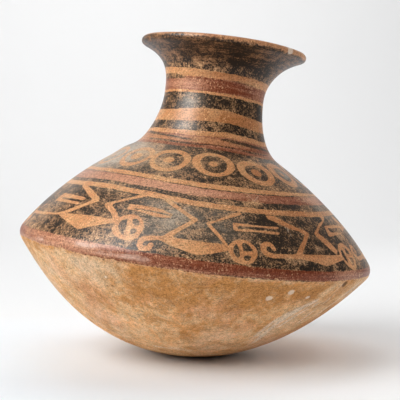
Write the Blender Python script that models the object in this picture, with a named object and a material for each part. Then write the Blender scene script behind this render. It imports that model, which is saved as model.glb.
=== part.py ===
"""Round-bottomed pottery olla, hand built, leaning a little on the worn flat of its base.

Sizes are in metres. The vessel is one body of revolution: bowl, turned edge at the widest
girth, sloping shoulder, short neck and flared mouth, all with one wall. Its axis wanders
slightly, and the whole vessel leans toward +X. The origin is the centre of the worn flat.
"""

import math

import bmesh
import bpy
import numpy as np
from mathutils import Matrix, Vector

# Wall and lip
WALL = 0.0065

# Bowl, from its lowest point up to the turned edge
GIRTH_RADIUS = 0.1535
BOWL_HEIGHT = 0.0915
BOWL_EDGE_ANGLE = math.radians(53.5)
GIRTH_ROUNDING = 0.008

# Shoulder, from the turned edge up to the foot of the neck
SHOULDER_HEIGHT = 0.0825
SHOULDER_EDGE_ANGLE = math.radians(59)
NECK_FOOT_RADIUS = 0.065
NECK_FOOT_ANGLE = math.radians(30)

# Neck and flared mouth
NECK_HEIGHT = 0.051
THROAT_RADIUS = 0.043
FLARE_HEIGHT = 0.038
RIM_RADIUS = 0.0695
RIM_ANGLE = math.radians(22)

# How full each curve is at its lower and upper end, as shares of its straight distance
BOWL_FULLNESS = (0.405, 0.305)
SHOULDER_FULLNESS = (0.315, 0.31)
NECK_FULLNESS = (0.3, 0.34)
FLARE_FULLNESS = (0.525, 0.3)

# How the vessel stands, and how far its axis wanders toward +X at four heights
LEAN = math.radians(6.85)
WORN_FLAT_RADIUS = 0.018
BASE_SHIFT = -0.005
NECK_FOOT_SHIFT = -0.002
THROAT_SHIFT = 0.0005
RIM_SHIFT = 0.004

# Fineness of the mesh
SIDES = 56
OUTER_STEPS = {"bowl": 15, "edge": 5, "shoulder": 9, "neck": 8, "flare": 10}
INNER_STEPS = {"bowl": 11, "edge": 3, "shoulder": 6, "neck": 6, "flare": 8}
LIP_STEPS = 6
SAME_POINT = 1e-6
SMOOTH_BELOW = math.radians(40)

# Fired clay, the mean of its painted and bare parts
CLAY_COLOUR = (0.33, 0.17, 0.085, 1.0)
CLAY_ROUGHNESS = 0.5


def direction(angle):
    """Unit vector in the profile plane (outward, up) at an angle above the horizontal."""
    return np.array([math.cos(angle), math.sin(angle)])


def curve_between(start, start_angle, end, end_angle, fullness, steps):
    """Cubic curve from start to end that leaves and arrives at the given angles."""
    reach = np.linalg.norm(end - start)
    first = start + direction(start_angle) * fullness[0] * reach
    second = end - direction(end_angle) * fullness[1] * reach
    t = np.linspace(0, 1, steps + 1)[:, None]
    return ((1 - t) ** 3 * start + 3 * (1 - t) ** 2 * t * first
            + 3 * (1 - t) * t ** 2 * second + t ** 3 * end)


def cut_back(curve, distance):
    """Drop the start of a curve up to a distance along it, and begin it there."""
    runs = np.linalg.norm(np.diff(curve, axis=0), axis=1)
    along = np.concatenate([[0], np.cumsum(runs)])
    kept = int(np.searchsorted(along, distance, side="right"))
    share = (distance - along[kept - 1]) / runs[kept - 1]
    start = curve[kept - 1] + share * (curve[kept] - curve[kept - 1])
    return np.vstack([start, curve[kept:]])


def rounded_corner(before, corner, after, steps):
    """Smooth curve from before to after that the corner point pulls outward."""
    t = np.linspace(0, 1, steps + 1)[1:-1, None]
    return (1 - t) ** 2 * before + 2 * (1 - t) * t * corner + t ** 2 * after


def outer_profile(steps):
    """Points (radius, height) of the outer surface, from the bottom centre to the rim."""
    bottom = np.array([0.0, 0.0])
    girth = np.array([GIRTH_RADIUS, BOWL_HEIGHT])
    foot = np.array([NECK_FOOT_RADIUS, girth[1] + SHOULDER_HEIGHT])
    throat = np.array([THROAT_RADIUS, foot[1] + NECK_HEIGHT])
    rim = np.array([RIM_RADIUS, throat[1] + FLARE_HEIGHT])
    foot_angle = math.pi - NECK_FOOT_ANGLE
    bowl = curve_between(bottom, 0, girth, BOWL_EDGE_ANGLE, BOWL_FULLNESS, steps["bowl"])
    shoulder = curve_between(girth, math.pi - SHOULDER_EDGE_ANGLE, foot, foot_angle,
                             SHOULDER_FULLNESS, steps["shoulder"])
    neck = curve_between(foot, foot_angle, throat, math.pi / 2, NECK_FULLNESS, steps["neck"])
    flare = curve_between(throat, math.pi / 2, rim, RIM_ANGLE, FLARE_FULLNESS, steps["flare"])
    bowl = cut_back(bowl[::-1], GIRTH_ROUNDING)[::-1]
    shoulder = cut_back(shoulder, GIRTH_ROUNDING)
    edge = rounded_corner(bowl[-1], girth, shoulder[0], steps["edge"])
    return np.vstack([bowl, edge, shoulder, neck[1:], flare[1:]])


def moved_inward(profile, distance):
    """The same profile moved toward the inside of the vessel by a distance."""
    ways = np.gradient(profile, axis=0)
    ways[0] = [1, 0]
    ways /= np.linalg.norm(ways, axis=1)[:, None]
    inward = np.column_stack([-ways[:, 1], ways[:, 0]])
    return profile + inward * distance


def lip(outer_end, inner_end):
    """Half circle over the rim, from the outer surface to the inner one."""
    centre = (outer_end + inner_end) / 2
    across = (outer_end - inner_end) / 2
    outward = np.array([across[1], -across[0]])
    if outward[0] < 0:
        outward = -outward
    turn = np.linspace(0, math.pi, LIP_STEPS + 1)[1:-1, None]
    return centre + np.cos(turn) * across + np.sin(turn) * outward


def wall_section():
    """Closed section of the wall, from the bottom centre outside round to the one inside."""
    outer = outer_profile(OUTER_STEPS)
    inner = moved_inward(outer_profile(INNER_STEPS), WALL)
    return np.vstack([outer, lip(outer[-1], inner[-1]), inner[::-1]])


def axis_shift(height):
    """How far the axis has wandered toward +X at a height."""
    foot = BOWL_HEIGHT + SHOULDER_HEIGHT
    stations = [
        (0.0, BASE_SHIFT),
        (BOWL_HEIGHT, 0.0),
        (foot, NECK_FOOT_SHIFT),
        (foot + NECK_HEIGHT, THROAT_SHIFT),
        (foot + NECK_HEIGHT + FLARE_HEIGHT, RIM_SHIFT),
    ]
    heights, shifts = zip(*stations)
    place = float(np.interp(height, heights, range(len(stations))))
    below = min(int(place), len(stations) - 2)
    t = place - below
    ease = t * t * (3 - 2 * t)
    return shifts[below] + (shifts[below + 1] - shifts[below]) * ease


def spun_body():
    """The section turned once round Z, with the axis points merged."""
    mesh = bmesh.new()
    points = [mesh.verts.new((radius, 0, height)) for radius, height in wall_section()]
    edges = [mesh.edges.new(pair) for pair in zip(points, points[1:])]
    bmesh.ops.spin(mesh, geom=points + edges, cent=(0, 0, 0), axis=(0, 0, 1),
                   angle=2 * math.pi, steps=SIDES, use_merge=True)
    bmesh.ops.remove_doubles(mesh, verts=mesh.verts, dist=SAME_POINT)
    return mesh


def base_curve_radius():
    """Radius of curvature of the outer bowl at its lowest point."""
    reach = math.hypot(GIRTH_RADIUS, BOWL_HEIGHT)
    first_handle = BOWL_FULLNESS[0] * reach
    second_height = BOWL_HEIGHT - math.sin(BOWL_EDGE_ANGLE) * BOWL_FULLNESS[1] * reach
    return 1.5 * first_handle ** 2 / second_height


def stand_on_flat(mesh):
    """Lean the body, cut the small worn flat under it, and put the origin at its centre."""
    for vert in mesh.verts:
        vert.co.x += axis_shift(vert.co.z)
    bmesh.ops.transform(mesh, matrix=Matrix.Rotation(LEAN, 4, "Y"), verts=mesh.verts)
    depth = WORN_FLAT_RADIUS ** 2 / (2 * base_curve_radius())
    level = min(vert.co.z for vert in mesh.verts) + depth
    cut = bmesh.ops.bisect_plane(mesh, geom=mesh.verts[:] + mesh.edges[:] + mesh.faces[:],
                                 plane_co=(0, 0, level), plane_no=(0, 0, -1), clear_outer=True)
    rim = [item for item in cut["geom_cut"] if isinstance(item, bmesh.types.BMEdge)]
    bmesh.ops.edgeloop_fill(mesh, edges=rim)
    corners = {vert for edge in rim for vert in edge.verts}
    middle = sum((vert.co for vert in corners), Vector()) / len(corners)
    bmesh.ops.translate(mesh, verts=mesh.verts, vec=-middle)
    bmesh.ops.recalc_face_normals(mesh, faces=mesh.faces)


def clay():
    """Fired and burnished clay."""
    material = bpy.data.materials.new("fired_clay")
    material.use_nodes = True
    shader = material.node_tree.nodes["Principled BSDF"]
    shader.inputs["Base Color"].default_value = CLAY_COLOUR
    shader.inputs["Roughness"].default_value = CLAY_ROUGHNESS
    shader.inputs["Metallic"].default_value = 0.0
    return material


def make_olla():
    """The whole vessel, one hollow body with an open mouth."""
    body = spun_body()
    stand_on_flat(body)
    data = bpy.data.meshes.new("olla")
    body.to_mesh(data)
    body.free()
    data.materials.append(clay())
    data.shade_smooth()
    data.set_sharp_from_angle(angle=SMOOTH_BELOW)
    olla = bpy.data.objects.new("olla", data)
    bpy.context.scene.collection.objects.link(olla)
    return olla


def clear_scene():
    """Remove the objects the scene starts with."""
    for thing in list(bpy.data.objects):
        bpy.data.objects.remove(thing, do_unlink=True)


clear_scene()
make_olla()
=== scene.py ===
"""Looks of the leaning pottery olla: one worn, burnished and painted clay surface.

The surface follows the CAD profile. Lengths on the vessel are in millimetres until its mesh is
made; those in its material, the setting and the camera are in metres. A place on the vessel is
an azimuth in degrees (0 toward -Y, positive toward +X) and a run in millimetres along the outer
profile, 0 at the widest girth, positive upward, going on over the lip and down inside.
"""

import math

import bpy
import numpy as np
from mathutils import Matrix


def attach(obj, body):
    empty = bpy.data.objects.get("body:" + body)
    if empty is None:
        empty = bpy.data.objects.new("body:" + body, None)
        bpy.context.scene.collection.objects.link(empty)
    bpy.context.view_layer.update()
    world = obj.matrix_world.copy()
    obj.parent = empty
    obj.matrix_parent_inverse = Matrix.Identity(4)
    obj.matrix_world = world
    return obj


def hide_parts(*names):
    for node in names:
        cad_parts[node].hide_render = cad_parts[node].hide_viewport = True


# Profile of the vessel, the same as the CAD solid's: radius and height at the base, the girth, the
# foot of the neck, the throat and the rim, and how far the axis has wandered toward +X there
RADII = (0, 153.5, 65, 43, 69.5)
HEIGHTS = (0, 91.5, 174, 225, 263)
AXIS_SHIFTS = (-5, 0, -2, 0.5, 4)

# The curves between them: angle in degrees at the lower and the upper end, and how full each is
CURVES = ((0, 53.5, 0.405, 0.305), (121, 150, 0.315, 0.31), (150, 90, 0.3, 0.34), (90, 22, 0.525, 0.3))
GIRTH_ROUNDING = 8.0
WALL = 6.5
LEAN = math.radians(6.85)

# Middle of the worn flat on the leaning vessel, the frame's origin
FLAT_MIDDLE = np.array([7.544, 0.0, 0.507])
PER_METRE = 1000

# Camera of the photograph
CAMERA_PLACE = (0.007636, -0.857, 0.15247)
CAMERA_PITCH = math.atan(22 / 985)
CAMERA_LENS = 88.65
CAMERA_SENSOR = 36

# Fineness of the profile, and the least radius that a place near a pole counts with
CURVE_STEPS = 200
EDGE_STEPS = 30
LIP_STEPS = 24
LEAST_RADIUS = 5


def direction(degrees):
    """Unit vector in the profile plane (outward, up) at an angle above the horizontal."""
    angle = math.radians(degrees)
    return np.array([math.cos(angle), math.sin(angle)])


def curve_between(start, end, start_angle, end_angle, start_full, end_full):
    """Cubic curve from start to end that leaves and arrives at the given angles."""
    reach = np.linalg.norm(end - start)
    first = start + direction(start_angle) * start_full * reach
    second = end - direction(end_angle) * end_full * reach
    t = np.linspace(0, 1, CURVE_STEPS + 1)[:, None]
    return ((1 - t) ** 3 * start + 3 * (1 - t) ** 2 * t * first
            + 3 * (1 - t) * t ** 2 * second + t ** 3 * end)


def run_along(points):
    """How far along a line each of its points lies."""
    return np.concatenate([[0], np.cumsum(np.linalg.norm(np.diff(points, axis=0), axis=1))])


def cut_back(curve, distance):
    """Drop the start of a curve up to a distance along it, and begin it there."""
    run = run_along(curve)
    kept = int(np.searchsorted(run, distance, side="right"))
    share = (distance - run[kept - 1]) / (run[kept] - run[kept - 1])
    start = curve[kept - 1] + share * (curve[kept] - curve[kept - 1])
    return np.vstack([start, curve[kept:]])


def outer_profile():
    """Dense outer profile (radius, height) and the run along it, 0 at the girth."""
    corners = np.column_stack([RADII, HEIGHTS])
    bowl, shoulder, neck, flare = (curve_between(start, end, *curve)
                                   for start, end, curve in zip(corners, corners[1:], CURVES))
    bowl = cut_back(bowl[::-1], GIRTH_ROUNDING)[::-1]
    shoulder = cut_back(shoulder, GIRTH_ROUNDING)
    t = np.linspace(0, 1, EDGE_STEPS + 1)[1:-1, None]
    edge = (1 - t) ** 2 * bowl[-1] + 2 * (1 - t) * t * corners[1] + t ** 2 * shoulder[0]
    points = np.vstack([bowl, edge, shoulder, neck[1:], flare[1:]])
    run = run_along(points)
    return points, run - run[len(bowl) + len(edge) // 2]


def full_section():
    """The outer profile, the round lip and the inner surface back down, as one line with its
    run, and the run where the lip begins."""
    outer, runs = outer_profile()
    ways = np.gradient(outer, axis=0)
    ways[0] = [1, 0]
    ways /= np.linalg.norm(ways, axis=1)[:, None]
    inner = outer + np.column_stack([-ways[:, 1], ways[:, 0]]) * WALL
    inner[0, 0] = 0
    centre = (outer[-1] + inner[-1]) / 2
    across = (outer[-1] - inner[-1]) / 2
    outward = np.array([-across[1], across[0]])
    turn = np.linspace(0, math.pi, LIP_STEPS + 1)[1:-1, None]
    lip = centre + np.cos(turn) * across + np.sin(turn) * outward
    section = np.vstack([outer, lip, inner[::-1]])
    return section, runs[0] + run_along(section), runs[-1]


# The lip lies between RIM_RUN and LIP_RUN, and the inner surface after it
SECTION, RUN, RIM_RUN = full_section()
LIP_RUN = RIM_RUN + math.pi * WALL / 2


def radius_at(run):
    """The vessel's radius at a run."""
    return np.interp(run, RUN, SECTION[:, 0])


def across_at(run):
    """Millimetres in one degree of azimuth at a run."""
    return math.radians(1) * np.maximum(radius_at(run), LEAST_RADIUS)


def axis_shift(height):
    """How far the axis has wandered toward +X at a height."""
    place = np.interp(height, HEIGHTS, np.arange(len(HEIGHTS)))
    below = np.minimum(place.astype(int), len(HEIGHTS) - 2)
    t = place - below
    shifts = np.array(AXIS_SHIFTS)
    return shifts[below] + (shifts[below + 1] - shifts[below]) * t * t * (3 - 2 * t)


def placed(azimuth, radius, height):
    """Points of the leaning vessel in metres, in the frame, from the vessel's own coordinates."""
    x = radius * np.sin(azimuth) + axis_shift(height)
    y = -radius * np.cos(azimuth)
    c, s = math.cos(LEAN), math.sin(LEAN)
    points = np.stack([x * c + height * s, y, height * c - x * s], -1) - FLAT_MIDDLE
    points[..., 2] = np.maximum(points[..., 2], 0)
    return points / PER_METRE


def spot(azimuth, run):
    """A place on the surface in metres."""
    radius, height = (np.interp(run, RUN, SECTION[:, k]) for k in (0, 1))
    return placed(np.radians(azimuth), np.array(radius), np.array(height))


# Hand-painted bands: the run of each boundary at azimuths round the vessel
AROUND = (-70, -45, -20, 0, 20, 45, 70, 180)
BOUNDS = {
    "red_low": (-2.4, -4, -6, -7, -6.8, -4.8, -1.8, -4.5),
    "red_high": (7, 6.8, 4.6, 3.6, 2.4, 3.2, 5.7, 5),
    "line_low": (57.3, 59.3, 56.5, 51.5, 50.7, 53, 57, 56),
    "line_high": (62, 64.1, 61.5, 56.6, 55.2, 57.4, 61, 61),
    "pink_low": (66.5, 69, 66.5, 63.3, 63, 66, 68.5, 66.5),
    "thin_low": (77.8, 77.5, 75.3, 71.8, 71.2, 74.3, 77, 75),
    "thin_high": (79, 78.9, 76.6, 73.2, 72.7, 76, 78.3, 76.4),
    "ring_low": (82.2, 83, 80.6, 78.5, 77.7, 79.4, 80.5, 80.5),
    "ring_high": (127, 127, 126.8, 127.4, 126.2, 123.4, 123.5, 126.5),
    "strip_low": (139.8, 139.6, 139.3, 139.6, 140.6, 138.5, 138, 139),
    "black1_low": (143.6, 143.7, 144, 144, 145.6, 143.2, 142, 144),
    "black1_high": (150.9, 151.2, 152.3, 153.2, 154, 150.8, 149.8, 151.5),
    "black2_low": (161, 161.5, 163.8, 165, 164.5, 161.2, 159.8, 162),
    "black2_high": (177.4, 177.5, 177.6, 176.8, 176.3, 175.8, 175.2, 176.5),
    "red2_low": (178.3, 178.4, 178.4, 178, 178.6, 177, 176.4, 177.6),
    "red2_high": (189.5, 189.9, 189.9, 189.8, 189.6, 187.5, 186.8, 189),
    "rim_low": (198.5, 197.9, 196.8, 195.7, 195.2, 194.3, 193.4, 196),
}

# Each boundary is smoothed over this many degrees to either side
SMOOTH_REACH = 8


def boundary(name, azimuth):
    """Run of a boundary at azimuths in degrees, smooth all round."""
    shares = ((-SMOOTH_REACH, 0.25), (0, 0.5), (SMOOTH_REACH, 0.25))
    return sum(share * np.interp(azimuth + step, AROUND, BOUNDS[name], period=360)
               for step, share in shares)


def front_run(name):
    """Run of a boundary at azimuth 0."""
    return float(boundary(name, 0))


def level_of(azimuth, run):
    """The run with each boundary brought to its run at azimuth 0, so that bands are level."""
    level = np.empty_like(run)
    front = [RUN[0]] + [front_run(name) for name in BOUNDS] + [RUN[-1]]
    columns, place = np.unique(np.round(azimuth, 4), return_inverse=True)
    for k, column in enumerate(columns):
        here = [RUN[0]] + [boundary(name, column) for name in BOUNDS] + [RUN[-1]]
        level[place == k] = np.interp(run[place == k], here, front)
    return level


# Painted figures: strokes, filled areas and discs of the orange ground left in the black

HEAD_RADIUS = 11
HEAD_LENS = ((-4.6, 5.4), (-7.0, 3.4), (-7.9, 0), (-7.0, -3.4), (-5.0, -5.2), (-4.0, -2.5), (-3.8, 2.5))
HEAD_UPPER = ((0.4, 7.2), (0.7, 1.7), (6.2, 1.6), (5.2, 4.4), (3.2, 6.4))
HEAD_LOWER = ((0.7, -1.1), (6.4, -1.2), (5.4, -4.0), (3.4, -6.2), (1.0, -7.2))

# Seeds of the hand that draws the unseen figures and rings, and how far it strays (degrees, mm)
FRIEZE_SEED = 7
RING_SEED = 11
HAND_STRAY = (0.28, 0.45)

# The unseen rings: how many, the azimuth of the first, the step to the next, and their run
MORE_RINGS = 9
FIRST_RING = 78.6
RING_STEP = 23.8
RING_RUN = 103.2

# How far round and along from a shape its distance is worked out, and the greatest one kept
NEAR_ANGLE = 14
NEAR_RUN = 22
FAR = 6.0

# The figures end this far above the upper edge of the frieze
FRIEZE_MARGIN = 1.5


def stroke(*points):
    """Brush stroke through (azimuth, run, width) points."""
    return "stroke", np.array(points, float)


def area(*points):
    """Filled area within (azimuth, run) points."""
    return "area", np.array(points, float)


def hollow(*points):
    """Dark area taken out of what was drawn before."""
    return "hollow", np.array(points, float)


def head(azimuth, run, radius):
    """Round head with a dark lens at its left and two dark marks beside an upright bar."""
    scale = radius / HEAD_RADIUS
    across = across_at(run)
    shapes = [("disc", np.array([[azimuth, run, radius, radius]]))]
    for mark in (HEAD_LENS, HEAD_UPPER, HEAD_LOWER):
        shapes.append(hollow(*((azimuth + x * scale / across, run + y * scale) for x, y in mark)))
    return shapes


# Angular figure at the photograph's left: zigzags, wedge, round head and bars
LEFT_FIGURE = [
    area((-56.5, 57.9), (-50.7, 53.6), (-45.4, 48.4), (-41.5, 44.3), (-44.1, 39.2), (-50.4, 29.5),
         (-54.4, 26), (-53.4, 23.8), (-48.1, 27.2), (-44.2, 33.5), (-40.4, 39.4), (-38.1, 43.2),
         (-38.2, 46.3), (-39.7, 48.8), (-44.3, 53.8), (-49.7, 58), (-52.8, 60.5)),
    stroke((-53.4, 24.9, 2.6), (-60, 23.5, 3.2), (-66, 22.4, 3.4), (-71, 21.8, 3.6), (-76, 21.5, 3.2)),
    stroke((-71.6, 26.5, 2.2), (-70.4, 29.6, 2.6), (-68.7, 32.1, 2.2)),
    area((-54.4, 25.7), (-48.7, 27.3), (-39.4, 28.9), (-31.7, 29.2), (-26.5, 29), (-26, 25.2),
         (-30.1, 22.4), (-34.1, 18.3), (-37.8, 14.3), (-39.5, 14.6), (-42.9, 17.4), (-51, 23.3)),
    area((-24.6, 54.7), (-31.2, 46.6), (-34.3, 43.9), (-34.7, 41.2), (-33.8, 38.8), (-29.9, 33.7),
         (-27.5, 27), (-25, 27.2), (-27.5, 35.4), (-31.1, 41.6), (-31, 43.6), (-28.1, 46.9),
         (-20.5, 54.8), (-18.8, 56.8), (-22.7, 58.6)),
    area((-26.2, 30.8), (-25, 33.6), (-23.3, 35.3), (-21.5, 36.1), (-19.7, 35.3), (-18.1, 33.2),
         (-16.9, 29.5), (-16.4, 25.3), (-16.5, 21), (-17.4, 14.6), (-18.5, 12.1), (-19.8, 10.8),
         (-21.4, 11.2), (-23.1, 12.2), (-24.9, 14.2), (-26.2, 17.3), (-26.8, 20.3), (-26.7, 24.1)),
    hollow((-23.1, 30.6), (-24.3, 29), (-24.8, 26.8), (-24.8, 23.1), (-24.1, 20), (-22.1, 15.6),
           (-22.3, 22), (-22.6, 26.4)),
    hollow((-20.9, 30.8), (-20, 31.8), (-18.9, 30), (-18.6, 26.7), (-19.6, 26.2), (-20.7, 28.4)),
    hollow((-20.5, 21.2), (-19.6, 22.6), (-18.7, 22.1), (-18.5, 20), (-19.2, 18.2), (-19.8, 17)),
    area((-62.5, 47.2), (-54.8, 46.8), (-46.6, 46.1), (-45, 44.4), (-45.3, 42.3), (-54.3, 42),
         (-60, 41.5), (-59.3, 40.6), (-47.6, 40.4), (-46.3, 39.1), (-46.6, 36.9), (-56.3, 37.1),
         (-63.5, 36.5), (-63.9, 41)),
]

# Angular figure in the middle, with a hook
MIDDLE_FIGURE = [
    area((-14.4, 56.9), (-11.3, 51), (-8.2, 46.6), (-5.3, 42.3), (-2.4, 37.8), (-4, 34.6), (-6.1, 29.8),
         (-8.8, 23.4), (-10.7, 19), (-7.2, 19), (-5.8, 24.3), (-3.7, 29.2), (-1.6, 33.7), (0.2, 38.3),
         (-0.2, 39.9), (-3.3, 44.1), (-6.7, 49.4), (-9.8, 54.3), (-11.3, 57)),
    stroke((-7, 18.2, 5.2), (-11.1, 17.6, 4.4), (-13.3, 16.8, 4.8), (-15.1, 15.6, 5.4), (-16.1, 13, 5.6),
           (-16.2, 9.8, 5.6), (-15.5, 7.4, 5.2), (-14.3, 6.8, 5), (-13.2, 8, 5.4), (-12.9, 10.6, 5.2)),
    area((-9.3, 19.8), (0, 19.6), (8.5, 19.3), (10.2, 18), (10.2, 14.2), (5, 9.8), (0.4, 6.6),
         (-6.4, 11.4), (-11, 15.5)),
    area((12.3, 49.8), (5.2, 40.1), (2.7, 38), (2.4, 36), (3.6, 31.9), (5.6, 26.3), (8.3, 17.8),
         (9.7, 18.6), (7.9, 25.1), (6, 31.1), (4.3, 36.1), (6.9, 39.7), (13.5, 46.4), (15.4, 49.2),
         (14.9, 51.6)),
    area((9.4, 17.7), (9.8, 20.1), (10.9, 22.8), (12.4, 24.7), (13.9, 25.3), (15.3, 24.9), (16.5, 23.5),
         (17.6, 20.7), (18.2, 17.6), (18.3, 14), (18.1, 10.7), (17.3, 7.7), (16.5, 5.3), (15.2, 4),
         (13.9, 3.5), (12.3, 3.9), (11.2, 4.8), (10.4, 7.3), (9.7, 10.3), (9.3, 14)),
    hollow((12, 20.4), (11.2, 17.9), (10.9, 15.6), (11, 12.7), (11.5, 10.2), (12.1, 8.6), (12.6, 9.8),
           (12.6, 13.1), (12.4, 16.6)),
    hollow((13.8, 21.5), (14.7, 21.8), (15.7, 19.8), (16.9, 16.1), (15.3, 15.3), (14.1, 15.3),
           (13.9, 18.1)),
    hollow((14.1, 10.5), (15.4, 11.4), (15.9, 10.2), (15.2, 7.7), (14.4, 7), (14, 8.7)),
    area((-25.2, 46.2), (-19, 46), (-15.2, 45.8), (-12.1, 44.4), (-8.2, 41.3), (-8.9, 36.7),
         (-12.1, 36.2), (-14.5, 36.1), (-18.1, 38.2), (-21.2, 39.5), (-25, 39.3)),
    hollow((-22.3, 42.2), (-19.2, 41.8), (-15, 41.5), (-11.5, 40.9), (-8.6, 39), (-11.4, 39.8),
           (-14.9, 40.6), (-19.1, 40.9), (-22.2, 41.5)),
]

# Angular figure at the right, with a hook
RIGHT_FIGURE = [
    area((24.2, 50.9), (25.1, 46.5), (28.6, 43.4), (32.1, 39.4), (36.1, 37.6), (38.3, 34.9),
         (35.8, 28.5), (32.9, 21.3), (30.9, 15.6), (33.7, 15.5), (35.3, 20.6), (37.9, 27.7),
         (40.8, 35.1), (40.9, 36.8), (40, 39.1), (36.5, 41.7), (32.3, 45.7), (28.4, 51.4)),
    stroke((34, 14, 4.4), (27.8, 13.7, 4.2), (25.5, 13.3, 4.3), (23.5, 13, 4.4), (21.9, 13.7, 4.8),
           (20.8, 15.3, 5), (20.3, 17.6, 5), (20.4, 20.4, 4.8), (21, 22.4, 4.6), (22, 23.3, 4.4),
           (23, 22.8, 4.2), (23.6, 20.8, 4), (23.9, 19, 3.8)),
    area((30.6, 17), (36.4, 17.2), (41.9, 17.4), (49.1, 17.8), (54, 19), (53.2, 13.3), (47.9, 10.3),
         (44.4, 8), (42.2, 6.8), (38.4, 9.6), (34.1, 11.4), (30.6, 12.2)),
    area((55.4, 56), (54.8, 51), (50.6, 47.6), (46.4, 41.5), (44.3, 38.6), (43.7, 36.2), (44.2, 33.1),
         (46, 28.4), (48, 22.1), (50.2, 18), (52.4, 21.2), (50.8, 27.6), (48.7, 32.8), (46.7, 38),
         (50.2, 44), (55, 49), (60, 55.5)),
    *head(57.4, 17, 12.4),
    area((11.4, 40.3), (16.8, 39.9), (28.1, 40.1), (28.2, 38.6), (27.4, 37.6), (21.1, 37.4), (13, 37),
         (13, 34.6), (16.5, 35.4), (23.6, 35.4), (27.7, 34.8), (27.8, 33.4), (26.9, 32.1), (19.7, 32.6),
         (12.1, 31.9), (11.3, 33)),
]

# The bars beside it
SIDE_BARS = [
    area((53.3, 45.8), (62.5, 46.8), (77, 46.3), (78.8, 44.6), (64.4, 37.6), (58.4, 36.3),
         (52.9, 34.4), (51.7, 35.5), (52.6, 41.2)),
    hollow((55, 43), (68, 43.2), (68, 39.6), (55.4, 39.4)),
]


def moved(shapes, turn, wander):
    """The same shapes drawn again further round, by a hand that never repeats itself."""
    copies = []
    for kind, points in shapes:
        there = points.copy()
        there[:, 0] += turn
        new_top, top = (boundary("line_low", place[:, 0]) + FRIEZE_MARGIN for place in (there, points))
        there[:, 1] *= new_top / top
        if kind in ("stroke", "area"):
            there[:, :2] += wander.normal(0, HAND_STRAY, (len(there), 2))
        copies.append((kind, there))
    return copies


def frieze_shapes():
    """The seen figures, and those drawn again round the back."""
    wander = np.random.default_rng(FRIEZE_SEED)
    shapes = LEFT_FIGURE + MIDDLE_FIGURE + RIGHT_FIGURE + SIDE_BARS
    turns = ((RIGHT_FIGURE[:-1], 43.5), (MIDDLE_FIGURE, 121), (RIGHT_FIGURE, 117.5),
             (LEFT_FIGURE, 234.5), (MIDDLE_FIGURE, 231.5), (MIDDLE_FIGURE, 267.5))
    for figure, turn in turns:
        shapes += moved(figure, turn, wander)
    return shapes


def ring_shapes():
    """Row of rings round the upper shoulder. A ring has an azimuth, a run, its half width and
    half height, the same of its hole, and the radius of its dot."""
    rings = [(-68, 102.5, 15, 15.5, 10.6, 10.6, 3), (-43.2, 104.3, 15.2, 16.2, 10.2, 10.2, 5.6),
             (-20.1, 104.7, 17, 17.2, 11.5, 11.3, 4.9), (6, 105.6, 17.5, 17, 10.5, 12, 4.3),
             (31.8, 100.8, 17.2, 16.4, 9.8, 9.8, 5.2), (55.2, 103, 15.2, 16, 8.4, 8.4, 3)]
    wander = np.random.default_rng(RING_SEED)
    for k in range(MORE_RINGS):
        size = wander.normal(16, 0.5)
        rings.append((FIRST_RING + RING_STEP * k, RING_RUN + wander.normal(0, 1), size,
                      size + wander.normal(0, 0.4), wander.normal(10.8, 0.3),
                      wander.normal(11.2, 0.3), wander.normal(4.1, 0.25)))
    shapes = []
    for azimuth, run, wide, high, hole_wide, hole_high, dot in rings:
        shapes.append(("disc", np.array([[azimuth, run, wide, high]])))
        shapes.append(("hole", np.array([[azimuth + wander.normal(0.2, 0.2), run, hole_wide, hole_high]])))
        shapes.append(("disc", np.array([[azimuth + wander.normal(-0.4, 0.3), run, dot, dot]])))
    return shapes


def wrapped(angle):
    """The angle between -180 and 180 degrees."""
    return (angle + 180) % 360 - 180


def segment_distance(azimuth, run, across, a, b, centre):
    """Distance in millimetres to a segment, and how far along it the nearest point is."""
    px, py = wrapped(azimuth - centre) * across, run
    ax, bx = wrapped(a[0] - centre) * across, wrapped(b[0] - centre) * across
    dx, dy = bx - ax, b[1] - a[1]
    t = np.clip(((px - ax) * dx + (py - a[1]) * dy) / (dx * dx + dy * dy + 1e-9), 0, 1)
    return np.hypot(px - ax - t * dx, py - a[1] - t * dy), t


def stroke_parts(points, azimuth, run, centre):
    """Distance to the middle of each stretch of a stroke, and its half width there."""
    across = across_at(run)
    for p, q in zip(points, points[1:]):
        distance, t = segment_distance(azimuth, run, across, p, q, centre)
        yield distance, (p[2] + (q[2] - p[2]) * t) / 2


def outline_distance(azimuth, run, across, points):
    """Distance to a closed outline, negative inside it."""
    centre = points[0, 0]
    px = wrapped(azimuth - centre) * across
    nearest = np.full(len(run), 1e3)
    inside = np.zeros(len(run), bool)
    for a, b in zip(points, np.roll(points, -1, axis=0)):
        nearest = np.minimum(nearest, segment_distance(azimuth, run, across, a, b, centre)[0])
        ax, bx = wrapped(a[0] - centre) * across, wrapped(b[0] - centre) * across
        crosses = (a[1] > run) != (b[1] > run)
        rise = b[1] - a[1] if b[1] != a[1] else 1e-9
        inside ^= crosses & (px < ax + (run - a[1]) * (bx - ax) / rise)
    return np.where(inside, -nearest, nearest)


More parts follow.
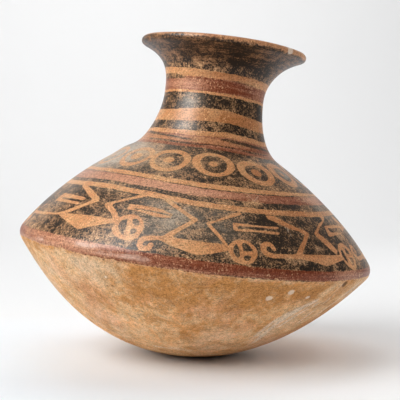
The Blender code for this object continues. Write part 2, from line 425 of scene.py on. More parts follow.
def shape_distance(shapes, azimuth, run):
    """Distance to the nearest drawn edge in millimetres, negative on the drawn shapes."""
    result = np.full(len(run), FAR)
    for kind, points in shapes:
        centre = points[:, 0].mean()
        reach = np.ptp(points[:, 0]) / 2 + NEAR_ANGLE
        low, high = points[:, 1].min() - NEAR_RUN, points[:, 1].max() + NEAR_RUN
        near = np.flatnonzero((np.abs(wrapped(azimuth - centre)) < reach) & (run > low) & (run < high))
        if not len(near):
            continue
        a, s = azimuth[near], run[near]
        across = across_at(s)
        if kind == "stroke":
            distance = np.full(len(near), FAR)
            for middle, half_width in stroke_parts(points, a, s, centre):
                distance = np.minimum(distance, middle - half_width)
        elif kind in ("disc", "hole"):
            x0, y0, wide, high = points[0]
            x, y = wrapped(a - x0) * across / wide, (s - y0) / high
            distance = (np.hypot(x, y) - 1) * (wide + high) / 2
        else:
            distance = outline_distance(a, s, across, points)
        if kind in ("hollow", "hole"):
            result[near] = np.maximum(result[near], -distance)
        else:
            result[near] = np.minimum(result[near], distance)
    return np.clip(result, -FAR, FAR)


# Thin dark lines and dabs between the bands, and a painted shadow along the red band's lower
# edge under the girth
DARK_LINES_AND_SHADOW = [
    stroke((-96, 191.4, 3.6), (-62, 190.8, 4.6), (-48, 190.2, 4), (-37, 189.8, 1.6)),
    stroke((6, 189.9, 0.9), (26, 190, 1.2), (47, 188.8, 1)),
    stroke((-68, 140.3, 2.2), (-49.3, 138.5, 2.1), (-32.9, 137.7, 1.9), (-18, 136.1, 1.8),
           (-8, 135.4, 1.3)),
    stroke((-6, 138.3, 0.5), (4, 138.2, 0.5), (12, 138.6, 0.8), (17, 139.4, 2.1), (23, 138.8, 2.9),
           (28.8, 138, 3.1), (37.7, 137.2, 3.1), (47.8, 136.2, 3.1), (61.4, 135.6, 3), (84, 134.4, 2.2),
           (130, 136, 1)),
    stroke((-56, 132.6, 1.8), (-34.3, 132.6, 2), (-16.5, 131.6, 2), (-4.5, 131.3, 1.7),
           (4.3, 132.6, 1.5), (18.5, 132.3, 1.4), (25.8, 131.2, 1.4), (33.7, 130.6, 2),
           (43.2, 129.6, 2.6), (51.8, 129.5, 2.1), (62.8, 129.2, 1.2)),
    stroke((150, 135.5, 1.5), (200, 134, 1.2), (262, 136.5, 1.6)),
    stroke((110, 131.5, 1.1), (180, 132.2, 1.4), (240, 131, 1)),
    # Painted shadow under the girth's edge, drawn as a dark line
    stroke((2, -5.6, 0.9), (14, -6.1, 1.5), (27, -5.9, 1.3), (40, -4.4, 0.8)),
]

# Pale scratches through the paint, strokes with no width of their own
SCRATCHES = [
    stroke((20.1, 71.3, 0), (21.9, 64.1, 0), (24.8, 71, 0)),
    stroke((30.9, 40.5, 0), (32.4, 31.5, 0)),
    stroke((31.8, 41.5, 0), (32.2, 38, 0)),
    stroke((140, 30, 0), (146, 24, 0)),
    stroke((215, 95, 0), (219, 84, 0)),
]

# Wear and stains

# Soft spots: azimuth, run, half width, half height, amount. Where the paint is worn more, or less
# with an amount below 0
WORN = (
    (22, 63.5, 5, 2.5, 0.2), (6, 184, 18, 5, 0.13), (0, 184, 60, 6, -0.03), (-30, 76, 40, 2, 0.05),
    (-48, 28, 30, 8, 0.03), (-72, 214, 16, 12, 0.12), (-25, 205, 4, 2, 0.22), (-14, 208.5, 7, 1.6, 0.2),
    (-3, 198, 9, 1.6, 0.18), (-22, 201, 6, 3, 0.14), (0, 169, 400, 13, -0.03),
    (-10, 214, 60, 12, -0.02), (25, 208, 40, 14, -0.07), (14, 226, 14, 4, 0.06), (40, 224, 30, 5, 0.05),
    (18, 169, 24, 12, -0.05), (-38, 10, 55, 7, 0.05), (-58, 30, 20, 12, 0.02), (24, 30, 34, 22, -0.045),
    (-28, 26, 40, 20, 0.03), (-23.6, 25, 4, 8, -0.16), (14, 32, 26, 22, 0.015), (0, 136, 200, 6, -0.1),
    (42, 32, 26, 20, -0.07), (24, 47, 10, 6, -0.08), (34, 62, 20, 5, -0.05), (-45, 103, 26, 20, 0.08),
    (10, 60, 40, 4, 0.04), (15, 12, 30, 5, 0.05), (28, 118, 18, 10, -0.04), (45, 100, 10, 20, 0.02),
    (-45, 106, 22, 16, 0.07), (60, 170, 20, 10, -0.06), (60, 30, 14, 30, 0.04), (160, 30, 60, 15, 0.06),
    (215, 105, 40, 14, 0.06), (120, 215, 40, 9, 0.06), (250, 20, 50, 12, 0.05),
)

# Where the bare clay has more ochre in it and the red is paler. Part of it is painted light: paler
# red as a painted highlight at the left of the girth, the pink band and the neck, and paler clay as
# painted light thrown up from the floor at the far right of the bowl
OCHRE_AND_LIGHT = (
    (-12, -14, 26, 10, 0.2), (-8, -34, 22, 12, 0.4), (8, -33, 36, 16, 0.15), (7, -52, 32, 14, 0.1),
    (24, -61, 30, 12, 0.05), (31, -24, 28, 9, 0.3), (18, -13, 40, 8, 0.45), (-40, -30, 40, 16, -0.2),
    (-20, -95, 40, 16, -0.1), (18, -98, 24, 12, -0.3), (45, -60, 18, 34, -0.5), (68, -16, 16, 16, -0.8),
    (-55, -30, 30, 30, -0.25), (-78, -30, 24, 50, -0.9), (110, -40, 60, 25, 0.4),
    (165, -20, 60, 16, 0.3), (200, -70, 60, 25, 0.35), (260, -45, 50, 25, 0.25), (-12, 68, 26, 8, 0.15),
    (-62, 3, 80, 8, 0.36), (-34, 1, 24, 5, 0.4), (28, 0, 50, 7, -0.4), (0, 0, 50, 7, -0.27),
    (-30, 68, 90, 12, 0.5), (40, 72, 50, 10, -0.25), (-6, 69, 30, 8, 0.15), (62, 72, 16, 10, 0.8),
    (10, 184, 26, 8, -0.3), (-20, 134, 24, 6, -0.1), (52, 2, 16, 8, 0.3), (-32, -14, 22, 10, -0.6),
    (-21, -12, 16, 8, -0.3), (0, 133, 70, 7, 0.1), (35, 133, 30, 7, -0.2), (-35, 184, 20, 8, 0.4),
)

# Where the orange slip is a darker amber
AMBER = (
    (12, 157, 44, 9, 0.6), (-22, 157, 20, 9, 0.15), (5, 195, 50, 4, 0.7), (8, 141, 40, 4, 0.55),
    (16, 13, 24, 10, 0.5), (3, 16, 14, 6, 0.3), (35, 38, 40, 24, 0.35), (30, 60, 50, 6, 0.35),
    (25, 100, 60, 20, 0.4), (38, 26, 34, 30, 0.3), (50, 40, 60, 50, 0.3), (45, 157, 30, 9, 0.5),
    (31.8, 100.8, 6, 6, 0.8), (-12, 34, 22, 28, -0.4), (-25, 105, 40, 24, -0.2), (45, 185, 40, 14, 0.3),
    (34, 30, 30, 26, 0.2), (150, 30, 60, 24, 0.3), (220, 60, 50, 30, 0.25),
)

# Where a pale film of wear lies over the black, and painted sheen on it: the glossy highlight
# down the left of the neck and the reflection at the right edge of the frieze are painted here
HAZE_AND_SHEEN = (
    (-8, 40, 14, 12, 0.75), (-16, 50, 18, 5, 0.2), (-12, 25, 20, 14, 0.2), (-8, 32, 50, 26, 0.2),
    (8, 38, 18, 20, 0.2), (76, 30, 12, 24, 0.5), (-24, 170, 9, 9, 0.6), (-23, 147.5, 9, 4, 0.5),
    (-36, 62, 30, 6, 0.3), (-48, 106, 28, 24, 0.9), (-70, 100, 26, 24, 1.0), (-20, 90, 14, 10, 0.2),
    (62, 60, 12, 10, 0.6), (58, 105, 12, 20, 0.6), (-62, 40, 16, 22, 0.3), (-4, 110, 30, 18, 0.15),
    (200, 50, 40, 14, 0.4), (140, 170, 16, 9, 0.4), (255, 100, 20, 20, 0.35),
)

# Streaks of pale deposit, and a painted highlight on the red band at the girth's left drawn as
# two pale streaks
DEPOSIT_AND_HIGHLIGHT_LINES = (
    stroke((46, -27.4, 7), (41.6, -38.5, 9), (39.4, -50, 9), (38.8, -60, 8), (39.4, -74, 7),
           (42.3, -91, 5)),
    stroke((43.5, -30, 3), (38.6, -42, 4), (36.2, -54, 5), (35.6, -64, 5), (36.5, -80, 4)),
    stroke((49, -30, 2), (45, -42, 3), (43, -54, 4), (42.4, -64, 4)),
    stroke((51.8, -7, 2), (52.6, -24, 3), (52.2, -39, 3), (51.4, -57, 2.4)),
    stroke((66, -8, 4), (63, -20, 5), (61, -33, 5), (59.5, -48, 4)),
    stroke((-16, -116, 5), (-2, -114.5, 7), (10, -115.5, 5)),
    # Painted highlight on the red band at the girth's left
    stroke((-36, 2.5, 4), (-24, 1, 6), (-13, -1, 4)),
    stroke((-66, 3, 2), (-52, 0, 3)),
    stroke((150, -95, 6), (158, -104, 8), (170, -101, 5)),
    stroke((235, -30, 5), (232, -44, 7), (236, -60, 4)),
)


def blobs(places, azimuth, run):
    """Sum of soft spots: (azimuth, run, half width, half height, amount)."""
    total = np.zeros(len(run))
    across = across_at(run)
    for az, s, wide, high, amount in places:
        x, y = wrapped(azimuth - az) * across / wide, (run - s) / high
        total += amount * np.exp(-(x * x + y * y))
    return total


# Mesh

# Vertices round the finest rings, and the seed, number and height of the wall's slow waves
FINE_COLUMNS = 640
WALL_SEED = 3
WALL_WAVES = 14
WALL_UNEVENNESS = 0.16

# Chips: azimuth, run, half width, half height, depth
CHIPS = (
    (50, 233, 3.2, 2.2, 1.1), (-62, 231, 4, 1.8, 0.7), (118, 233, 5, 2.4, 1.2), (205, 234, 4, 2.2, 0.9),
    (53.5, -6.5, 3.2, 3.4, 0.9), (25.6, -25.3, 1.8, 1.8, 0.3), (-20, 60.8, 2, 1, 0.2), (236, 1, 4, 3, 0.7),
    (22, 1, 5, 2, 0.25), (-52, 0.5, 6, 2, 0.3), (140, 0, 7, 2.4, 0.4),
)

# Low swelling at the left of the neck's foot: azimuth, run, half angle, half height, lift
SWELLING = (-88, 119, 30, 9, 1.5)


def rows():
    """Runs of the rings of vertices and how many vertices each has, finest on the painting."""
    half, quarter = FINE_COLUMNS // 2, FINE_COLUMNS // 4
    spans = (
        (RUN[0] + 3, -12, 5.0, half),
        (-10.4, 66, 1.3, FINE_COLUMNS),
        (67.4, 127.5, 1.7, FINE_COLUMNS),
        (129, 142, 1.4, half),
        (144, 186, 3.0, half),
        (187.5, 195, 1.5, half),
        (197, RIM_RUN, 2.7, half),
        (RIM_RUN + 1.4, LIP_RUN - 1.4, 1.25, half),
        (LIP_RUN + 0.5, LIP_RUN + 60, 4.0, quarter),
        (LIP_RUN + 67, RUN[-1] - 5, 9.0, quarter),
    )
    return [(run, count) for start, end, step, count in spans
            for run in np.linspace(start, end, max(2, round((end - start) / step) + 1))]


def ring_places():
    """Azimuth and run of every vertex, and each ring's first vertex and number of vertices."""
    azimuth, run, rings = [], [], []
    total = 0
    for height, count in rows():
        azimuth.append(np.arange(count) * 360 / count - 180)
        run.append(np.full(count, height))
        rings.append((total, count))
        total += count
    return np.concatenate(azimuth), np.concatenate(run), rings


def joined(low, low_count, high, high_count):
    """Faces between two rings; one may have twice as many vertices as the other."""
    if low_count > high_count:
        return [block[:, ::-1] for block in joined(high, high_count, low, low_count)]
    j = np.arange(low_count)
    a, b = low + j, low + (j + 1) % low_count
    if low_count == high_count:
        return [np.column_stack([a, b, high + (j + 1) % low_count, high + j])]
    c, d, e = (high + (2 * j + k) % high_count for k in range(3))
    return [np.column_stack(block) for block in ((a, d, c), (a, b, d), (b, e, d))]


def vessel_faces(rings):
    """Faces of the closed surface; its two poles come after the vertices of the rings."""
    faces = []
    for low, high in zip(rings, rings[1:]):
        faces += joined(*low, *high)
    first, last = (start + np.arange(count) for start, count in (rings[0], rings[-1]))
    pole = sum(rings[-1])
    faces.append(np.column_stack([np.full(len(first), pole), np.roll(first, -1), first]))
    faces.append(np.column_stack([np.full(len(last), pole + 1), last, np.roll(last, -1)]))
    return [face for block in faces for face in block.tolist()]


def uneven(azimuth, run):
    """Smooth unevenness of a hand-built wall, the same at azimuth 0 and 360."""
    wander = np.random.default_rng(WALL_SEED)
    total = np.zeros(len(run))
    for _ in range(WALL_WAVES):
        turns = wander.integers(1, 9)
        along = wander.uniform(0.01, 0.06)
        total += np.sin(np.radians(azimuth) * turns + run * along + wander.uniform(0, 2 * math.pi))
    return total * WALL_UNEVENNESS / math.sqrt(WALL_WAVES)


def swollen(azimuth, run):
    """How far the low swelling lifts the surface."""
    middle, middle_run, half_angle, half_height, lift = SWELLING
    x, y = wrapped(azimuth - middle) / half_angle, (run - middle_run) / half_height
    return lift * np.exp(-x ** 2 - y ** 2)


def surface_points(azimuth, run):
    """Points of the uneven and chipped surface in metres."""
    way = np.gradient(SECTION, axis=0)
    way /= np.linalg.norm(way, axis=1)[:, None]
    outward, upward = np.interp(run, RUN, way[:, 1]), -np.interp(run, RUN, way[:, 0])
    lift = uneven(azimuth, run) - blobs(CHIPS, azimuth, run) + swollen(azimuth, run)
    radius = radius_at(run) + outward * lift
    height = np.interp(run, RUN, SECTION[:, 1]) + upward * lift
    return placed(np.radians(azimuth), radius, height)


def added(name, data):
    """A new object in the scene."""
    thing = bpy.data.objects.new(name, data)
    bpy.context.scene.collection.objects.link(thing)
    return thing


def vessel_mesh():
    """The whole surface as one closed mesh, with the azimuth and run of every vertex."""
    azimuth, run, rings = ring_places()
    points = surface_points(azimuth, run)
    poles = placed(np.zeros(2), np.zeros(2), np.array([SECTION[0, 1], SECTION[-1, 1]]))
    mesh = bpy.data.meshes.new("olla_clay")
    mesh.from_pydata(np.vstack([points, poles]).tolist(), [], vessel_faces(rings))
    mesh.shade_smooth()
    return mesh, np.append(azimuth, [0, 0]), np.append(run, [RUN[0], RUN[-1]])


def deposits_and_highlights(azimuth, run):
    """How thick the pale deposits and the painted highlight lie, 1 along the middle of each streak."""
    total = np.zeros(len(run))
    for _, points in DEPOSIT_AND_HIGHLIGHT_LINES:
        for distance, half_width in stroke_parts(points, azimuth, run, points[0, 0]):
            total = np.maximum(total, np.exp(-(distance / half_width) ** 2))
    return total


def store_fields(mesh, azimuth, run):
    """Writes what the material needs to know of each place on the surface."""
    fields = {"level": level_of(azimuth, run), "deposit": deposits_and_highlights(azimuth, run)}
    for name, shapes in (("figure", frieze_shapes() + ring_shapes()), ("dab", DARK_LINES_AND_SHADOW),
                         ("scratch", SCRATCHES)):
        fields[name] = shape_distance(shapes, azimuth, run)
    for name, places in (("worn", WORN), ("ochre", OCHRE_AND_LIGHT), ("amber", AMBER), ("haze", HAZE_AND_SHEEN)):
        fields[name] = blobs(places, azimuth, run)
    for name, values in fields.items():
        mesh.attributes.new(name, "FLOAT", "POINT").data.foreach_set("value", values.astype(np.float32))
    radius, angle = radius_at(run), np.radians(azimuth)
    turned = np.column_stack([radius * np.sin(angle), -radius * np.cos(angle), run]) / PER_METRE
    attribute = mesh.attributes.new("turned", "FLOAT_VECTOR", "POINT")
    attribute.data.foreach_set("vector", turned.astype(np.float32).ravel())


# Material

# Where a Mix node has its two colours and its result
MIX_FIRST, MIX_SECOND, MIX_RESULT = 6, 7, 2


class Graph:
    """A node material in short words. What its layers share is kept on it by name."""

    def __init__(self, name):
        self.material = bpy.data.materials.new(name)
        self.material.use_nodes = True
        self.tree = self.material.node_tree
        self.shader = self.tree.nodes["Principled BSDF"]

    def put(self, socket, value):
        """Links a socket to an input, or gives the input a value."""
        if isinstance(value, bpy.types.NodeSocket):
            self.tree.links.new(value, socket)
        else:
            socket.default_value = value

    def node(self, kind, *values, **settings):
        """A shader node with its settings and the values of its first inputs."""
        node = self.tree.nodes.new("ShaderNode" + kind)
        for key, value in settings.items():
            setattr(node, key, value)
        for socket, value in zip(node.inputs, values):
            self.put(socket, value)
        return node

    def math(self, operation, a, b):
        return self.node("Math", a, b, operation=operation).outputs[0]

    def times(self, a, b):
        return self.math("MULTIPLY", a, b)

    def sum(self, shift=0.0, **weights):
        """Sum of kept values, each times its weight, and a shift."""
        terms = [getattr(self, name) if weight == 1 else self.times(getattr(self, name), weight)
                 for name, weight in weights.items()]
        total = terms[0]
        for term in terms[1:] + ([shift] if shift else []):
            total = self.math("ADD", total, term)
        return total

    def between(self, value, low, high, to_low=0.0, to_high=1.0):
        """0 at the low value and 1 at the high one, or between the two results given."""
        return self.node("MapRange", value, low, high, to_low, to_high, clamp=True).outputs[0]

    def mask(self, low, high, shift=0.0, **weights):
        """0 to 1 as a sum of kept values goes from low to high."""
        return self.between(self.sum(shift, **weights), low, high)

    def mix(self, share, first, second, blend="MIX"):
        """Colour between two others, each a tuple or a socket."""
        node = self.node("Mix", share, data_type="RGBA", blend_type=blend)
        for place, colour in ((MIX_FIRST, first), (MIX_SECOND, second)):
            self.put(node.inputs[place], (*colour, 1) if isinstance(colour, tuple) else colour)
        return node.outputs[MIX_RESULT]

    def over(self, colour, tone, mask, strength=1):
        """The colour with a tone laid over it where the mask is 1."""
        return self.mix(mask if strength == 1 else self.times(mask, strength), colour, tone)

    def attribute(self, name, output="Fac"):
        return self.node("Attribute", attribute_name=name).outputs[output]

    def noise(self, place, scale, detail, rough, twist=0.0):
        """Noise with features of about 1 / scale metres; three scales stretch it."""
        if isinstance(scale, tuple):
            mapping = self.node("Mapping", place)
            mapping.inputs["Scale"].default_value = scale
            place, scale = mapping.outputs["Vector"], 1.0
        node = self.node("TexNoise")
        names = ("Vector", "Scale", "Detail", "Roughness", "Distortion")
        for name, value in zip(names, (place, scale, detail, rough, twist)):
            self.put(node.inputs[name], value)
        return node.outputs["Fac"]

    def ramp(self, value, stops):
        """0 up to the first of some places from 0 to 1, then the tone given with each of them."""
        node = self.node("ValToRGB", value)
        node.color_ramp.interpolation = "CONSTANT"
        elements = node.color_ramp.elements
        elements.remove(elements[-1])
        for place, tone in stops:
            elements.new(place).color = (tone,) * 3 + (1,)
        return node.outputs["Color"]

    def distance(self, place, centre):
        return self.node("VectorMath", place, centre, operation="DISTANCE").outputs["Value"]

# Painted slips
ORANGE = (0.65, 0.34, 0.155)
ORANGE_DEEP = (0.53, 0.225, 0.09)
AMBER_SLIP = (0.44, 0.176, 0.064)
GOLDEN = (0.70, 0.45, 0.23)
LIP_BROWN = (0.42, 0.20, 0.11)
RED = (0.20, 0.045, 0.016)
RED_PALE = (0.54, 0.265, 0.157)
FADED_AND_HIGHLIGHT = (0.68, 0.47, 0.37)
FILM_AND_SHEEN = (0.50, 0.41, 0.31)
BLACK = (0.023, 0.016, 0.011)
BROWN = (0.37, 0.20, 0.098)
RIM_BROWN = (0.27, 0.135, 0.065)

# Bare clay, and what lies on it and on the slips
CREAM = (0.84, 0.54, 0.29)
PEACH = (0.80, 0.42, 0.18)
OCHRE_CLAY = (0.57, 0.245, 0.064)
PALE = (0.76, 0.59, 0.42)
BLUSH = (0.72, 0.37, 0.21)
INSIDE = (0.30, 0.15, 0.075)
CHALK = (0.86, 0.76, 0.63)
SOOT = (0.10, 0.055, 0.03)
PIT = (0.10, 0.05, 0.028)
STAIN = (0.085, 0.04, 0.024)

# Bands from one boundary to another; the rim's black goes on a little way down inside
INNER_PAINT_RUN = LIP_RUN + 30
BLACK_SPANS = (("red_high", "line_low"), ("line_high", "pink_low"), ("thin_low", "thin_high"),
               ("ring_low", "ring_high"), ("black1_low", "black1_high"), ("black2_low", "black2_high"),
               ("rim_low", INNER_PAINT_RUN))
RED_SPANS = (("red_low", "red_high"), ("pink_low", "thin_low"), ("ring_high", "strip_low"),
             ("red2_low", "red2_high"))

# Where the ramps of the bands begin, and how far they reach
LEVEL_LOW, LEVEL_SPAN = -10.0, 290.0

# Noises: scale in features a metre, or one scale for each axis, then detail, roughness and twist
NOISES = {
    "pepper": (900, 2, 0.6), "grain": (480, 4, 0.8), "fine": (300, 3, 0.6), "clump": (130, 3, 0.65),
    "cloud": (40, 4, 0.68), "mottle": (60, 7, 0.8, 0.5), "peach": (95, 5, 0.75, 0.7),
    "stain": (34, 6, 0.7, 0.9), "blush": (20, 4, 0.6), "patch": (28, 5, 0.7), "pitted": (620, 1, 0.4),
    "unsteady": (75, 2, 0.5), "frayed": (520, 2, 0.6), "scuff": ((45, 45, 160), 3, 0.7, 0.8),
}

# The same with heights counted along the profile, for streaks along the turning direction
STREAKS = {
    "streak": ((30, 30, 260), 3, 0.6), "long_streak": ((55, 55, 520), 4, 0.7),
    "brush": ((24, 24, 420), 3, 0.65), "tone": ((38, 38, 75), 4, 0.62), "stripe": ((9, 9, 290), 2, 0.5),
}

# Runs where the lip is bared to the orange slip, where the strip at the neck's foot is striped,
# where the worn rim begins, and where the bowl gets paler
LIP_BARE = ((231.6, 233.4), (LIP_RUN + 4, LIP_RUN + 2))
STRIPED = ((126.5, 129), (140, 138.5))
RIM_START = (198, 208)
BOWL_TOP = (-75, -20)
FRINGE = 2.2

# Chalky and dark spots: azimuth, run and radius
CHALK_SPOTS = (
    (25.7, -25.6, 2.6), (32, -17.7, 2.6), (40.2, -22.6, 1.8), (50, 233.2, 3.6), (-27.5, -24, 1.0),
    (118, 233, 2.2), (205, 234, 1.8), (150, -40, 2.0), (228, -18, 1.7),
)
DARK_SPOTS = (
    (53.8, -8, 3.0), (-20.1, -67.6, 0.7), (-18.2, -62.5, 0.8), (-16.2, -57.6, 0.6), (-28, -33.5, 0.9),
    (-26, -32.6, 0.7), (-26.5, -6.5, 1.1), (-21.5, 60.8, 1.0), (236, 1, 3.0), (174, -33, 1.4),
    (101, -60, 1.6),
)
SPOT_RAGGEDNESS = 0.0022

GLAZE_IOR = 1.33
GLAZE_SPECULAR = 0.36
BUMP_STRENGTH = 0.5
BUMP_HEIGHT = 0.0006


def span_stops(spans):
    """Stops of a ramp that is 1 within each span and 0 outside them."""
    stops = []
    for span in spans:
        for edge, tone in zip(span, (1.0, 0.0)):
            run = front_run(edge) if isinstance(edge, str) else edge
            stops.append(((run - LEVEL_LOW) / LEVEL_SPAN, tone))
    return stops


def keep_fields(clay):
    """The fields of the mesh, and the noises that the layers share."""
    for name in ("level", "figure", "dab", "scratch", "worn", "ochre", "amber", "haze", "deposit"):
        setattr(clay, name, clay.attribute(name))
    clay.place = clay.node("TexCoord").outputs["Object"]
    turned = clay.attribute("turned", "Vector")
    for place, noises in ((clay.place, NOISES), (turned, STREAKS)):
        for name, settings in noises.items():
            setattr(clay, name, clay.noise(place, *settings))


def keep_masks(clay):
    """Where the bands, figures and bare clay lie, with edges that an unsteady hand moves and
    feathers."""
    clay.hand = clay.sum(unsteady=1, shift=-0.5)
    clay.feather = clay.sum(frayed=1, shift=-0.5)
    clay.shake = clay.sum(hand=1.8, feather=1.5)
    clay.ragged = clay.sum(level=1, hand=4, feather=4)
    at = clay.math("DIVIDE", clay.sum(level=1, shake=1, shift=-LEVEL_LOW), LEVEL_SPAN)
    clay.red_band = clay.ramp(at, span_stops(RED_SPANS))
    clay.bare = clay.math("MAXIMUM", clay.math("LESS_THAN", clay.ragged, front_run("red_low")),
                          clay.math("GREATER_THAN", clay.ragged, INNER_PAINT_RUN))
    clay.lip = clay.times(*(clay.mask(*span, level=1, hand=5, feather=5) for span in LIP_BARE))
    off_figure = clay.mask(-0.6, -0.1, figure=1, hand=1.2, feather=0.8)
    bands = clay.times(clay.ramp(at, span_stops(BLACK_SPANS)), off_figure)
    # Dark lines and dabs in black, with the painted shadow under the girth among them
    dabs = clay.times(clay.mask(0.3, -0.3, dab=1, shake=0.5), 0.9)
    clay.black = clay.times(clay.math("MAXIMUM", bands, dabs), clay.math("SUBTRACT", 1.0, clay.lip))


def keep_wear(clay):
    """How far the paint is worn: fine speckles of the ground, thicker and thinner in clouds."""
    clay.rim = clay.mask(*RIM_START, level=1)
    clay.wear = clay.sum(pepper=0.85, grain=0.9, clump=0.7, cloud=0.6, streak=0.2, worn=1, shift=-1.625)
    clay.rim_wear = clay.times(clay.sum(long_streak=0.7, wear=-0.3, shift=-0.355), clay.rim)
    clay.cover = clay.mask(0.32, 0.18, wear=1, rim_wear=0.4, rim=-0.09)
    clay.thin = clay.mask(-0.05, 0.14, wear=1, rim_wear=1)


def orange_slip(clay):
    """The burnished ground, golden in places and amber in others."""
    orange = clay.mix(clay.mask(0.40, 0.72, tone=0.7, fine=0.4), ORANGE, ORANGE_DEEP)
    orange = clay.over(orange, GOLDEN, clay.mask(0.74, 0.92, cloud=1, grain=0.5), 0.5)
    amber = clay.times(clay.amber, clay.between(clay.sum(tone=1, clump=1), 0.75, 1.05, 0.6, 1.2))
    orange = clay.over(orange, AMBER_SLIP, amber)
    return clay.over(orange, LIP_BROWN, clay.lip, 0.6)


def red_paint(clay, orange):
    """Red, paler where the brush left less of it and where a highlight is painted, and striped at the
    neck's foot.
    """
    flush = clay.mask(0.41, 0.81, brush=0.6, grain=0.4, pepper=0.3, ochre=0.5, shift=-0.1)
    strip = clay.times(*(clay.mask(*span, level=1) for span in STRIPED))
    stripes = clay.times(strip, clay.mask(0.53, 0.59, stripe=1))
    return clay.over(clay.mix(flush, RED, RED_PALE), orange, stripes, 0.5)


def slip_colour(clay):
    """The orange and red slips, with specks of soot and rubbed places."""
    orange = orange_slip(clay)
    slip = clay.mix(clay.red_band, orange, red_paint(clay, orange))
    slip = clay.over(slip, SOOT, clay.mask(0.94, 1.10, pepper=0.8, grain=0.6, cloud=0.3), 0.65)
    rubbed = clay.times(clay.mask(0.16, 0.28, wear=1), clay.between(clay.red_band, 0, 1, 0.6, 0.4))
    slip = clay.over(slip, GOLDEN, rubbed)
    return clay.mix(1.0, slip, clay.sum(pepper=2.3, grain=1.3, fine=0.5, shift=-1.06), "MULTIPLY")


def painted_colour(clay):
    """The slips with the worn black over them, and on top a pale film that is partly painted sheen,
    smears that are partly a painted highlight, and a pale fringe.
    """
    slip = slip_colour(clay)
    ink = clay.mix(clay.thin, BLACK, clay.mix(clay.rim, BROWN, RIM_BROWN))
    painted = clay.mix(clay.black, slip, clay.mix(clay.cover, clay.mix(0.3, slip, GOLDEN), ink))
    # Pale film over the black: partly wear, partly painted sheen and highlights
    film_and_sheen = clay.times(clay.haze, clay.mask(0.6, 1.0, scuff=0.7, pepper=0.6, grain=0.4))
    painted = clay.over(painted, FILM_AND_SHEEN, clay.times(film_and_sheen, clay.between(clay.black, 0, 1, 0.3, 1)))
    # Pale smears: deposit, and a painted highlight on the red band
    smear_and_highlight = clay.times(clay.deposit, clay.mask(0.9, 1.15, scuff=1, brush=0.6, grain=0.4))
    painted = clay.over(painted, FADED_AND_HIGHLIGHT, smear_and_highlight, 0.8)
    low = front_run("red_low")
    fringe = clay.times(clay.mask(low + FRINGE, low, ragged=1), clay.mask(0.5, 0.6, grain=1))
    return clay.over(painted, GOLDEN, fringe, 0.6)


def bare_colour(clay):
    """The mottled and stained clay of the bowl, and the plain darker inside."""
    clay.upper = clay.mask(*BOWL_TOP, level=1)
    body = clay.mix(clay.mask(0.66, 0.86, peach=1, clump=0.5), CREAM, PEACH)
    # The ochre field also makes the clay paler at the bowl's far right: painted light from the floor
    gold = clay.mask(-0.1, 0.17, stain=1.3, grain=0.3, clump=0.35, ochre=0.42, upper=0.06, shift=-0.98)
    body = clay.over(body, OCHRE_CLAY, gold, 0.9)
    body = clay.over(body, BLUSH, clay.mask(0.68, 0.82, blush=1, mottle=0.3), 0.5)
    body = clay.over(body, PALE, clay.mask(0.61, 0.83, patch=1, grain=0.2, ochre=-0.3), 0.45)
    body = clay.over(body, SOOT, clay.mask(1.04, 1.2, pepper=1, grain=0.5, clump=0.3), 0.6)
    body = clay.over(body, CHALK, clay.mask(0.78, 1.2, deposit=0.8, pepper=0.6, scuff=0.4), 0.55)
    body = clay.over(body, INSIDE, clay.math("GREATER_THAN", clay.level, LIP_RUN))
    shade = clay.sum(pepper=1.5, grain=1.1, fine=0.6, mottle=0.9, upper=-0.12, shift=-1.095)
    return clay.mix(1.0, body, shade, "MULTIPLY")


def marked(clay, colour):
    """The colour with pits, chalky and dark spots with ragged edges, and scratches."""
    clay.pits = clay.mask(0.745, 0.80, pitted=1)
    colour = clay.over(colour, PIT, clay.pits, 0.55)
    for spots, soft, tone, strength in ((CHALK_SPOTS, 0.0005, CHALK, 0.6),
                                        (DARK_SPOTS, 0.0006, STAIN, 0.75)):
        for azimuth, run, size in spots:
            clay.away = clay.distance(clay.place, spot(azimuth, run))
            radius = size / PER_METRE
            mask = clay.mask(radius + soft, radius - soft, away=1, feather=SPOT_RAGGEDNESS)
            colour = clay.over(colour, tone, mask, strength)
    clay.scratched = clay.mask(0.7, 0.3, scratch=1)
    return clay.over(colour, PALE, clay.scratched, 0.35)


def add_finish(clay):
    """Burnished gloss above the girth, matt clay below and inside, and the relief of brush and
    burnishing strokes, grit, pits and scratches."""
    gloss = clay.times(clay.sum(grain=0.14, cloud=0.12, shift=0.20), clay.math("SUBTRACT", 1.0, clay.bare))
    matt = clay.times(clay.sum(mottle=0.2, shift=0.62), clay.bare)
    clay.put(clay.shader.inputs["Roughness"], clay.math("ADD", gloss, matt))
    clay.shader.inputs["IOR"].default_value = GLAZE_IOR
    clay.shader.inputs["Specular IOR Level"].default_value = GLAZE_SPECULAR
    bump = clay.node("Bump", BUMP_STRENGTH, BUMP_HEIGHT)
    relief = clay.sum(fine=0.5, grain=0.25, brush=0.3, mottle=0.9, pits=-0.8, scratched=-0.5)
    clay.put(bump.inputs["Height"], relief)
    clay.put(clay.shader.inputs["Normal"], bump.outputs["Normal"])


def clay_material():
    """Painted and burnished slips above the girth, bare clay below and inside."""
    clay = Graph("olla_clay")
    keep_fields(clay)
    keep_masks(clay)
    keep_wear(clay)
    colour = clay.mix(clay.bare, painted_colour(clay), bare_colour(clay))
    clay.put(clay.shader.inputs["Base Color"], marked(clay, colour))
    add_finish(clay)
    return clay.material


def add_olla():
    """The vessel's surface, in place of its CAD solid."""
    mesh, azimuth, run = vessel_mesh()
    store_fields(mesh, azimuth, run)
    mesh.materials.append(clay_material())
    piece = added("olla_clay", mesh)
    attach(piece, "root")
    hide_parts("olla")


# Setting, in metres

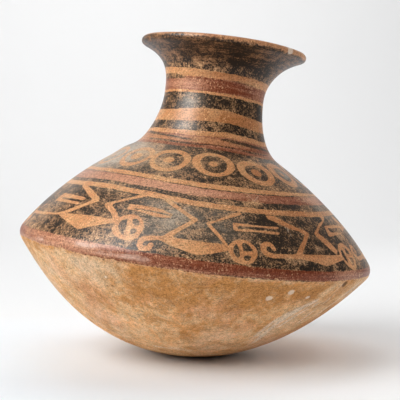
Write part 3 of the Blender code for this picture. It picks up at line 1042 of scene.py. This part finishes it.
# The sweep: a floor that turns up into a back wall, just under the vessel
SWEEP_FRONT = -3.0
SWEEP_TURN = 1.6
SWEEP_RADIUS = 1.2
SWEEP_TOP = 5.0
SWEEP_HALF_WIDTH = 4.0
SWEEP_STEPS = 24
SWEEP_GAP = 0.0004
FLOOR_WHITE = (0.84, 0.842, 0.844)

# A cooler tone on the floor at the vessel's left, against the warm light that it throws there
COOL_WHITE = (0.83, 0.90, 0.96)
COOL_MIDDLE = (-0.17, -0.06, 0)
COOL_REACH = (0.3, 0.04)

WORLD_STRENGTH = 0.03

# Area lights: name, place, target, size, power, and what sets each apart
LIGHTS = (
    ("key_left", (-1.36, -0.74, 1.22), (0, 0, 0.12), (1.55, 1.35), 34.5, {}),
    ("overhead", (-0.22, 0.08, 1.7), (0, 0, 0.12), (0.7, 0.9), 2.6, {}),
    ("front_left", (-0.84, -1.36, 0.8), (0, 0, 0.12), (0.9, 0.9), 6.3, {"glossy": False}),
    ("low_right", (1.25, 0.2, 0.55), (0, 0, 0.1), (0.8, 0.6), 4, {"glossy": False}),
    ("right_fill", (1.3, 0.3, 1.2), (0, 0, 0.1), (1.4, 1.2), 6.8, {"glossy": False}),
    ("back_wall", (-0.35, 1.3, 2.45), (-0.1, 2.7, 0.98), (3.0, 1.0), 48.5, {"glossy": False}),
    ("floor_right", (0.78, -0.12, 0.9), (0.48, -0.12, 0), (0.4, 0.4), 0.24,
     {"glossy": False, "spread": 40}),
    ("sheen", (-0.915, -0.665, 1.1), (0, 0, 0.12), (0.6, 1.3), 42, {"diffuse": False}),
)


def floor_material():
    """Matt white, a little cooler beside the vessel."""
    floor = Graph("pale_floor")
    place = floor.node("TexCoord").outputs["Object"]
    beside = floor.between(floor.distance(place, COOL_MIDDLE), *COOL_REACH)
    floor.put(floor.shader.inputs["Base Color"], floor.mix(beside, FLOOR_WHITE, COOL_WHITE))
    floor.shader.inputs["Roughness"].default_value = 0.9
    floor.shader.inputs["Specular IOR Level"].default_value = 0.1
    return floor.material


def add_floor():
    """The seamless pale sweep that the vessel stands on."""
    turn = np.linspace(0, math.pi / 2, SWEEP_STEPS + 1)
    bend = [(SWEEP_TURN + SWEEP_RADIUS * math.sin(a), SWEEP_RADIUS * (1 - math.cos(a))) for a in turn]
    line = [(SWEEP_FRONT, 0.0)] + bend + [(SWEEP_TURN + SWEEP_RADIUS, SWEEP_TOP)]
    points = [(x, y, z - SWEEP_GAP) for y, z in line for x in (-SWEEP_HALF_WIDTH, SWEEP_HALF_WIDTH)]
    faces = [(2 * k, 2 * k + 1, 2 * k + 3, 2 * k + 2) for k in range(len(line) - 1)]
    mesh = bpy.data.meshes.new("sweep")
    mesh.from_pydata(points, [], faces)
    mesh.shade_smooth()
    mesh.materials.append(floor_material())
    floor = added("sweep", mesh)


def add_light(name, place, target, size, power, glossy=True, diffuse=True, spread=180):
    """A rectangular light at a place, turned to its target."""
    lamp = bpy.data.lights.new(name, "AREA")
    lamp.shape = "RECTANGLE"
    lamp.size, lamp.size_y = size
    lamp.energy = power
    lamp.spread = math.radians(spread)
    light = added(name, lamp)
    light.location = place
    x, y, z = np.subtract(target, place)
    light.rotation_euler = (math.atan2(math.hypot(x, y), -z), 0, -math.atan2(x, y))
    light.visible_glossy = glossy
    light.visible_diffuse = diffuse


def add_world():
    """A faint even light from everywhere."""
    world = bpy.data.worlds.new("studio")
    world.use_nodes = True
    background = world.node_tree.nodes["Background"]
    background.inputs["Color"].default_value = (1, 1, 1, 1)
    background.inputs["Strength"].default_value = WORLD_STRENGTH
    bpy.context.scene.world = world


def add_camera():
    camera = bpy.data.cameras.new("camera")
    camera.lens = CAMERA_LENS
    camera.sensor_width = CAMERA_SENSOR
    view = added("camera", camera)
    view.location = CAMERA_PLACE
    view.rotation_euler = (math.pi / 2 - CAMERA_PITCH, 0, 0)
    bpy.context.scene.camera = view
    bpy.context.scene.view_settings.view_transform = "Standard"


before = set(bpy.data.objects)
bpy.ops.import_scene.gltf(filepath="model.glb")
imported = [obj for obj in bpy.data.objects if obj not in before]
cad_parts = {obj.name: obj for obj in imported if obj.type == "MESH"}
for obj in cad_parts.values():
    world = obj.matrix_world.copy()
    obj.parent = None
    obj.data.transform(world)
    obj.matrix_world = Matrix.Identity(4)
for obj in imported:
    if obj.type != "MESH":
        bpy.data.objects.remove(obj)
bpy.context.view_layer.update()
add_olla()
add_floor()
add_world()
for *light, settings in LIGHTS:
    add_light(*light, **settings)
add_camera()
